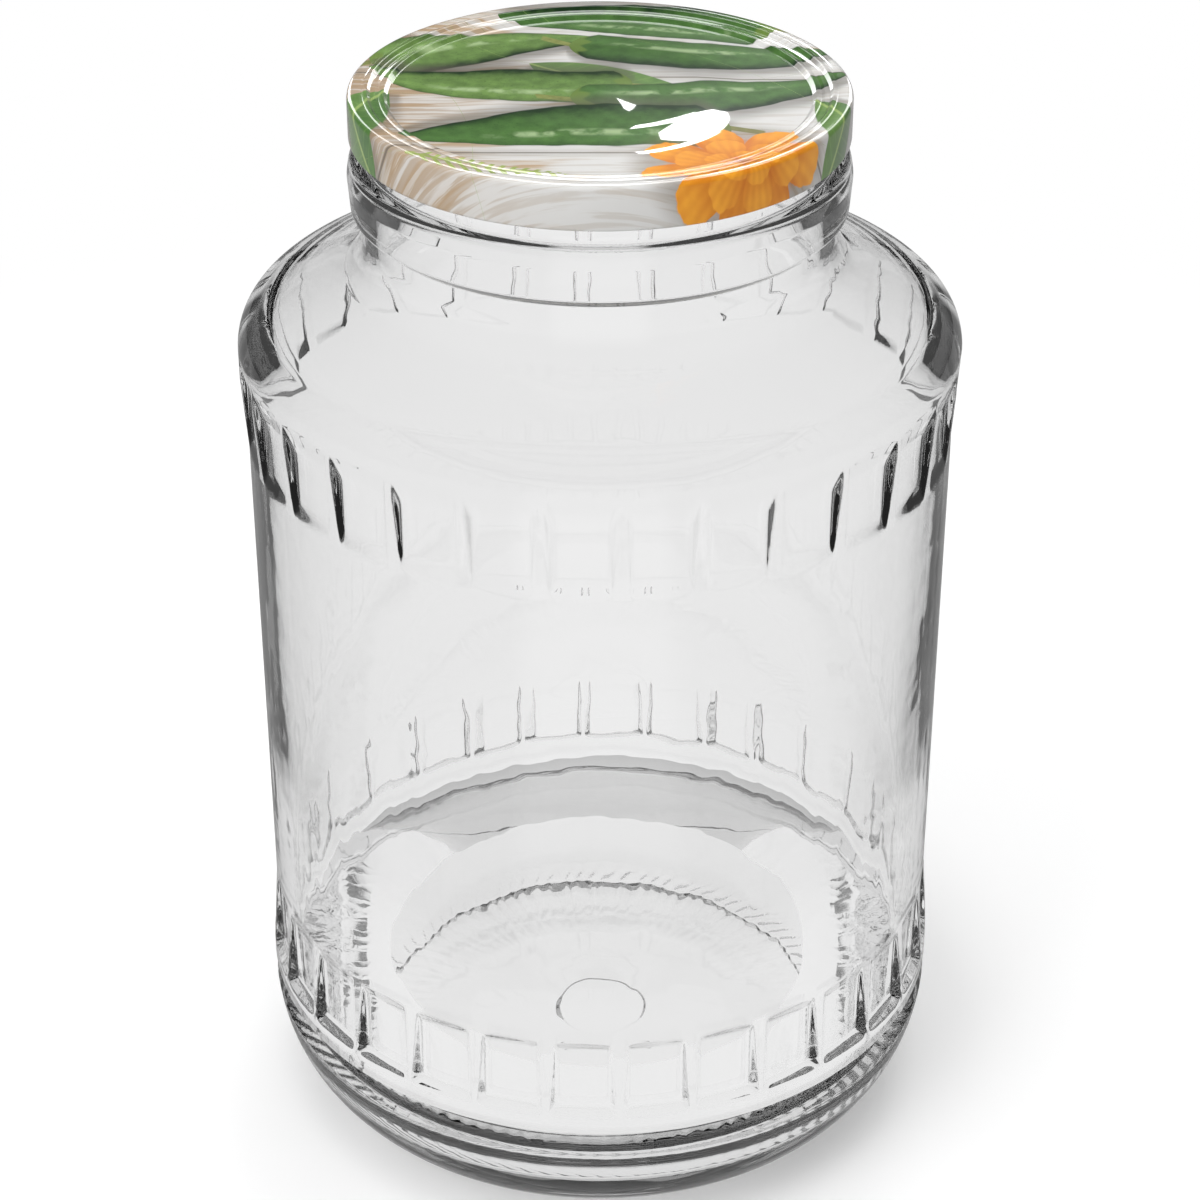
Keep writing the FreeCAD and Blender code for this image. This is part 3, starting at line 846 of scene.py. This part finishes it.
# Motif, centre, turn in degrees, half length, half width, bend, light and dark tones
LAYOUT = (
    ("bay leaf", (-0.86, 0.42), 128, 0.3, 0.12, 0.03, LEAFY),
    ("bay leaf", (-0.98, -0.3), 74, 0.34, 0.14, -0.04, LEAFY),
    ("pepper pod", (0.16, 0.8), 172, 0.6, 0.15, 0.06, MID_POD),
    ("pepper pod", (-0.5, 0.5), 22, 0.5, 0.165, -0.06, FRESH_POD),
    ("pepper pod", (0.42, 0.44), -9, 0.56, 0.165, 0.05, MID_POD),
    ("bay leaf", (0.02, 0.14), -24, 0.36, 0.15, 0.05, LEAFY),
    ("pepper pod", (-0.42, 0.1), 171, 0.55, 0.175, -0.07, FRESH_POD),
    ("pepper pod", (0.46, -0.02), 12, 0.58, 0.17, 0.07, MID_POD),
    ("herb sprig", (-0.42, -0.8), -14, 0.36, 0.085, 0.05, HERBY),
    ("bay leaf", (0.98, -0.38), 108, 0.3, 0.12, 0.03, LEAFY),
    ("pepper pod", (-0.14, -0.38), 184, 0.66, 0.2, 0.05, MID_POD),
    ("marigold head", (0.54, -0.76), 20, 0.4, 0, 0, PETALS))


def printed_colour(tree, place):
    """Lays the motifs over the boards, from the lowest to the topmost."""
    boards = add(tree, "ShaderNodeGroup", {"Joint": -0.62}, node_tree=boards_group())
    tree.links.new(place, boards.inputs["Place"])
    colour = boards.outputs["Colour"]
    groups = {label: motif_group(label, draw) for label, draw in MOTIFS.items()}
    for label, centre, turn, length, width, bend, tones in LAYOUT:
        values = {"Centre": (*centre, 0), "Turn": math.radians(turn), "Length": length, "Width": width, "Bend": bend,
                  "Light": (*tones[0], 1), "Dark": (*tones[1], 1)}
        node = add(tree, "ShaderNodeGroup", values, node_tree=groups[label])
        tree.links.new(colour, node.inputs["Under"])
        tree.links.new(place, node.inputs["Place"])
        colour = node.outputs["Colour"]
    return colour


def print_material():
    """The printed outside of the lid under clear lacquer."""
    material, tree, shader = finish("printed_steel", LACQUER)
    blank = add(tree, "ShaderNodeUVMap", uv_map="blank")
    span = PRINT_SPAN / PRINT_UNIT
    centred = add(tree, "ShaderNodeMapping", {"Scale": (span, span, span), "Location": (-span / 2, -span / 2, 0)})
    tree.links.new(blank.outputs[0], centred.inputs["Vector"])
    tree.links.new(printed_colour(tree, centred.outputs[0]), shader.inputs["Base Color"])
    return material


# ---- the lid

SHEET = 0.3 * MM
CURL = 0.7 * MM  # radius of the rolled edge
PANEL_SINK = 1.65 * MM  # how far the middle of the top lies below its rim
STEP_SINK = 0.75 * MM
BUTTON_RISE = 0.55 * MM
BUTTON_CROWN = 0.35 * MM
LUGS = 6
LUG_SWEEP = math.radians(12)
LUG_GAP = 0.3 * MM
LID_COLUMNS = 288
PRINT_TURN = 3.1 * MM  # from the skirt in to where the print starts down it
SKIRT_STRETCH = 0.8
TINY = 0.01 * MM


def lid_outline():
    """The pressed steel: out over the top, down the skirt, round the curl and back underneath."""
    top = TOTAL_HEIGHT
    panel = top - PANEL_SINK
    ring = panel + BUTTON_RISE
    middle = top - STEP_SINK
    r = LID_RADIUS
    face = [(0, ring + BUTTON_CROWN, 0), (14 * MM, ring, 1.5 * MM), (21.5 * MM, ring, 1 * MM)]
    face += [(30.4 * MM, panel, 1 * MM), (r - 8.4 * MM, panel, 0.4 * MM), (r - 7.5 * MM, middle, 0.3 * MM)]
    # A small crest and dip beside each step.
    face += [(r - 7.1 * MM, middle, 0.2 * MM), (r - 6.4 * MM, middle - 0.24 * MM, 0.3 * MM)]
    face += [(r - 5.8 * MM, middle - 0.05 * MM, 0.4 * MM), (r - 4.8 * MM, middle, 0.4 * MM)]
    face += [(r - 4.1 * MM, top, 0.3 * MM), (r - 3.7 * MM, top, 0.2 * MM), (r - 3.1 * MM, top - 0.2 * MM, 0.3 * MM)]
    face += [(r - 2.6 * MM, top - 0.1 * MM, 0.3 * MM)]
    inside = r - SHEET
    curl_top = LID_BOTTOM + 2 * CURL
    skirt = [(r, top, 1.9 * MM), (r, LID_BOTTOM, CURL), (r - 2 * CURL, LID_BOTTOM, CURL)]
    skirt += [(r - 2 * CURL, curl_top, CURL), (inside, curl_top, 0.2 * MM), (inside, top - SHEET, 1.6 * MM)]
    under = [(radius, z - SHEET, rounding) for radius, z, rounding in reversed(face)]
    return rounded_outline(face + skirt + under, 5)


def lug_pieces():
    """Inward lugs, folded from the curl."""
    tip = FINISH_RADIUS + LUG_GAP
    root = LID_RADIUS - CURL
    low = LID_BOTTOM + 0.1 * MM
    high = LID_BOTTOM + 1.5 * MM
    corners = [(root, low, 0), (tip + 0.5 * MM, low + 0.2 * MM, 0.4 * MM), (tip, low + 0.8 * MM, 0.3 * MM)]
    corners += [(tip, high, 0.25 * MM), (root, high, 0), (root, low, 0)]
    lugs = turned_strip("lugs", rounded_outline(corners, 3), [(LUG_SWEEP, 8)])
    merge_and_face_out(lugs)
    edit_all(lugs)
    bpy.ops.mesh.fill_holes(sides=0)
    leave_edit()
    repeat_round(lugs, LUGS)
    merge_and_face_out(lugs)
    return lugs


def lay_out_blank(lid):
    """Gives the outside its print and a flat blank as its UV map, and the rest the lining."""
    mesh = lid.data
    while mesh.uv_layers:
        mesh.uv_layers.remove(mesh.uv_layers[0])
    blank = mesh.uv_layers.new(name="blank")
    for loop in mesh.loops:
        co = mesh.vertices[loop.vertex_index].co
        radius = co.xy.length
        path = radius
        if radius > LID_RADIUS - PRINT_TURN:
            path += SKIRT_STRETCH * (TOTAL_HEIGHT - co.z)
        share = path / max(radius, TINY) / PRINT_SPAN
        blank.data[loop.index].uv = (0.5 + co.x * share, 0.5 + co.y * share)
    for face in mesh.polygons:
        radius = face.center.xy.length
        outwards = face.normal.xy.dot(face.center.xy) / max(radius, TINY)
        on_top = face.normal.z > 0.1 and face.center.z > TOTAL_HEIGHT - PANEL_SINK - 0.25 * MM
        on_skirt = outwards > 0.1 and radius > LID_RADIUS - 0.4 * MM
        face.material_index = 0 if on_top or on_skirt else 1


class JAR_OT_lid(bpy.types.Operator):
    """Builds the pressed lid, its lugs and its print"""
    bl_idname = "jar.lid"
    bl_label = "Printed lid"

    def execute(self, context):
        points = resample(lid_outline(), 4 * MM)
        shell = turned_strip("shell", points, [(2 * math.pi, LID_COLUMNS)])
        merge_and_face_out(shell)
        lid = join([shell, lug_pieces()], "printed_twist_lid")
        smooth(lid)
        lid.data.materials.append(print_material())
        lid.data.materials.append(mottled("grey_lining", LACQUER, 60.0, (0.10, 0.097, 0.092), (0.15, 0.145, 0.138)))
        lay_out_blank(lid)
        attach(lid, "root")
        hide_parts("twist_lid")
        return {"FINISHED"}


class JAR_OT_seal(bpy.types.Operator):
    """Gives the sealing ring its compound"""
    bl_idname = "jar.seal"
    bl_label = "Sealing ring"

    def execute(self, context):
        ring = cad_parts["sealing_ring"]
        material = mottled("sealing_compound", {"Roughness": 0.55}, 400.0, (0.72, 0.69, 0.6), (0.82, 0.79, 0.71))
        for slot in ring.material_slots:
            slot.material = material
        return {"FINISHED"}


# ---- the stage

FLOOR_RADIUS = 6.0
SHADOW_FADE = (0.16, 0.5)  # distances from the axis between which the floor goes to white
THROUGH_GLASS_PAINTED_SHADE = 0.09  # painted shade in place of the shade under the jar: how much darker the floor is wherever it is seen through the glass
FLOOR_IN_MIRRORS = 0.35
POOL_EDGE = 40 * MM
POOL_LEVEL = 0.9
BACK_LEVEL = 0.85
RING_FADE = (0.26, 0.34)  # distances between which the darker ring round the pool ends
RING_LOSS = 0.15
FLAG_EDGE = (0.28, 0.5)  # how far to the side the dark flags begin
BACKDROP_TOP = (0.3, 0.6)  # rise of the directions between which the pale backdrop ends
BACKDROP_LEVEL = 0.8
SOFT_LIGHT = 0.55
GLASS_BOUNCES = 20
MIRROR_BOUNCES = 14
SHADOW_WALLS = 12  # walls of glass that light for a shadow may cross
LAMP_AIM = (0, 0, 0.12)
# Name, place, size, power
STUDIO_LAMPS = (
    ("key", (-0.9, -0.8, 1.3), (0.9, 0.9), 14),
    ("back", (0.35, 1.3, 0.95), (0.5, 0.5), 6),
    ("top", (0.0, 0.0, 1.8), (1.4, 1.4), 16))
# Name, place as at_angle takes it, size, power
LID_LAMPS = (
    ("overhead_glow", (0, 58, 1.6), (1.5, 0.7), 26),
    ("window_glow", (6.3, 27.5, 2.0), (0.19, 0.25), 1.8),
    ("pane_glow", (2.6, 24.4, 2.0), (0.09, 0.05), 0.2),
    ("left_glow", (-25, 20, 1.6), (0.36, 1.1), 6),
    ("right_glow", (25, 20, 1.6), (0.36, 1.1), 6))


def path_masks(tree):
    """Masks for what is seen straight or through glass, what a glass wall turns back, and mirrors."""
    path = add(tree, "ShaderNodeLightPath").outputs
    reflected = Term(tree, path["Glossy Depth"]).maths("GREATER_THAN", 0.5)
    through = (1.0 - reflected) * Term(tree, path["Is Transmission Ray"])
    plain = through.at_least(Term(tree, path["Is Camera Ray"]))
    walls = Term(tree, path["Transmission Depth"])
    return plain, through, reflected, walls.maths("GREATER_THAN", 0.5), walls.maths("GREATER_THAN", 3.5)


def sideways(tree, vector):
    """How far a level direction points to the sides: 0 front and back, 1 left and right; its length and height."""
    x, y, z = components(tree, vector)
    length = (x * x + y * y).power(0.5)
    return abs(x) / length.at_least(0.0001), length, z


def mix_shaders(tree, factor, first, second):
    """Mixes two shader nodes by a Term or a socket; returns the mixing node."""
    node = add(tree, "ShaderNodeMixShader")
    tree.links.new(factor.socket if isinstance(factor, Term) else factor, node.inputs[0])
    tree.links.new(first.outputs[0], node.inputs[1])
    tree.links.new(second.outputs[0], node.inputs[2])
    return node


def floor_material(settings):
    """Pale floor that keeps the shadow near the jar and fades to white further out."""
    material, tree, out = new_material("pale_floor")
    plain, through, reflected, in_glass, deep = path_masks(tree)
    diffuse = add(tree, "ShaderNodeBsdfDiffuse", {"Color": (*settings.floor_colour, 1)})
    white, turned_back = (add(tree, "ShaderNodeEmission") for _ in range(2))
    mirror = add(tree, "ShaderNodeEmission", {"Strength": FLOOR_IN_MIRRORS})
    place = add(tree, "ShaderNodeTexCoord")
    side, away, _ = sideways(tree, place.outputs["Object"])
    to_white = ((1.0 - away.fades(*SHADOW_FADE)) * plain).at_least(through)
    # Painted shade: the floor seen through the glass glows a little less, standing in for the shade under the jar.
    tree.links.new((1.0 - through * THROUGH_GLASS_PAINTED_SHADE).socket, white.inputs["Strength"])
    seen = mix_shaders(tree, to_white, diffuse, white)
    # In the glass walls: a bright pool by the jar, dark flags to the sides, and a paler back.
    pool = away.fades(settings.pool_radius, settings.pool_radius + POOL_EDGE)
    pale = BACK_LEVEL - away.fades(*RING_FADE) * RING_LOSS
    level = (pale * side.fades(*FLAG_EDGE)).at_least(settings.dark_level)
    level = level.at_least(pool * POOL_LEVEL).at_least(deep * settings.deep_level)
    tree.links.new(level.socket, turned_back.inputs["Strength"])
    glossy = mix_shaders(tree, in_glass, mirror, turned_back)
    tree.links.new(mix_shaders(tree, reflected, seen, glossy).outputs[0], out.inputs["Surface"])
    return material


def build_world(settings):
    """White behind the jar, dark in its reflections, and a soft even light on all that is matt."""
    world = bpy.data.worlds.new("studio")
    bpy.context.scene.world = world
    world.use_nodes = True
    tree = world.node_tree
    tree.nodes.clear()
    out = add(tree, "ShaderNodeOutputWorld")
    plain, _, reflected, in_glass, deep = path_masks(tree)
    soft = add(tree, "ShaderNodeBackground", {"Strength": SOFT_LIGHT})
    mirror = add(tree, "ShaderNodeBackground", {"Strength": settings.dark_level})
    white = add(tree, "ShaderNodeBackground", {"Color": (1, 1, 1, 1)})
    turned_back = add(tree, "ShaderNodeBackground")
    place = add(tree, "ShaderNodeTexCoord")
    side, _, height = sideways(tree, place.outputs["Generated"])
    level = side.fades(*FLAG_EDGE) * height.fades(*BACKDROP_TOP) * BACKDROP_LEVEL
    level = level.at_least(settings.dark_level).at_least(deep * settings.deep_level)
    tree.links.new(level.socket, turned_back.inputs["Strength"])
    first = mix_shaders(tree, reflected, soft, mix_shaders(tree, in_glass, mirror, turned_back))
    tree.links.new(mix_shaders(tree, plain, first, white).outputs[0], out.inputs["Surface"])


def add_lamp(name, place, aim, size, power):
    """An area lamp that neither mirrors nor glass show."""
    data = bpy.data.lights.new(name, "AREA")
    data.shape = "RECTANGLE"
    data.size, data.size_y = size
    data.energy = power
    lamp = bpy.data.objects.new(name, data)
    bpy.context.scene.collection.objects.link(lamp)
    lamp.location = place
    lamp.rotation_euler = (Vector(aim) - Vector(place)).to_track_quat("-Z", "Y").to_euler()
    lamp.visible_glossy = False
    lamp.visible_transmission = False
    return lamp


def add_lid_lamps(lid):
    """Softboxes that show only as reflections in the lid's lacquer."""
    only_lid = bpy.data.collections.new("lid_reflections")
    only_lid.objects.link(lid)
    for name, place, size, power in LID_LAMPS:
        lamp = add_lamp(name, at_angle(*place), (0, 0, TOTAL_HEIGHT), size, power)
        lamp.visible_glossy = True
        lamp.visible_diffuse = False
        lamp.light_linking.receiver_collection = only_lid


def at_angle(azimuth, elevation, distance):
    """A place seen from the lid's middle at degrees from the back towards the right, and above level."""
    across = math.radians(azimuth)
    up = math.radians(elevation)
    level = distance * math.cos(up)
    return (level * math.sin(across), level * math.cos(across), TOTAL_HEIGHT + distance * math.sin(up))


class JAR_OT_stage(bpy.types.Operator):
    """Builds the floor, lamps, world and camera"""
    bl_idname = "jar.stage"
    bl_label = "Studio"

    def execute(self, context):
        settings = context.scene.jar_studio
        scene = context.scene
        deselect_all()
        bpy.ops.mesh.primitive_circle_add(vertices=64, radius=FLOOR_RADIUS, fill_type="NGON", location=(0, 0, 0))
        floor = context.object
        floor.name = "floor"
        floor.data.materials.append(floor_material(settings))
        build_world(settings)
        for name, place, size, power in STUDIO_LAMPS:
            add_lamp(name, place, LAMP_AIM, size, power)
        add_lid_lamps(bpy.data.objects["printed_twist_lid"])
        bpy.ops.object.camera_add(location=(0, -settings.camera_distance, settings.camera_height),
                                  rotation=(math.pi / 2 - settings.camera_tilt, 0, 0))
        scene.camera = context.object
        scene.camera.data.lens = settings.camera_lens
        scene.camera.data.clip_start = 10 * MM
        scene.view_settings.view_transform = "Standard"
        scene.cycles.max_bounces = scene.cycles.transmission_bounces = GLASS_BOUNCES
        scene.cycles.glossy_bounces = MIRROR_BOUNCES
        scene.cycles.transparent_max_bounces = SHADOW_WALLS
        return {"FINISHED"}


# ---- panel and running

class JAR_PT_panel(bpy.types.Panel):
    """Lists the jar's operators and settings"""
    bl_idname = "JAR_PT_panel"
    bl_label = "Preserving jar"
    bl_space_type = "VIEW_3D"
    bl_region_type = "UI"
    bl_category = "Jar"

    def draw(self, context):
        for operator in STEPS:
            self.layout.operator(operator.bl_idname)
        for group in (context.scene.jar_sizes, context.scene.jar_studio):
            for name in group.__annotations__:
                self.layout.prop(group, name)


STEPS = (JAR_OT_glass, JAR_OT_lid, JAR_OT_seal, JAR_OT_stage)
CLASSES = (JarSizes, StudioSettings) + STEPS + (JAR_PT_panel,)


def register():
    for item in CLASSES:
        bpy.utils.register_class(item)
    bpy.types.Scene.jar_sizes = PointerProperty(type=JarSizes)
    bpy.types.Scene.jar_studio = PointerProperty(type=StudioSettings)


def unregister():
    del bpy.types.Scene.jar_sizes
    del bpy.types.Scene.jar_studio
    for item in reversed(CLASSES):
        bpy.utils.unregister_class(item)


def main():
    register()
    bpy.ops.jar.glass()
    bpy.ops.jar.lid()
    bpy.ops.jar.seal()
    bpy.ops.jar.stage()


if __name__ == "__main__":
    main()
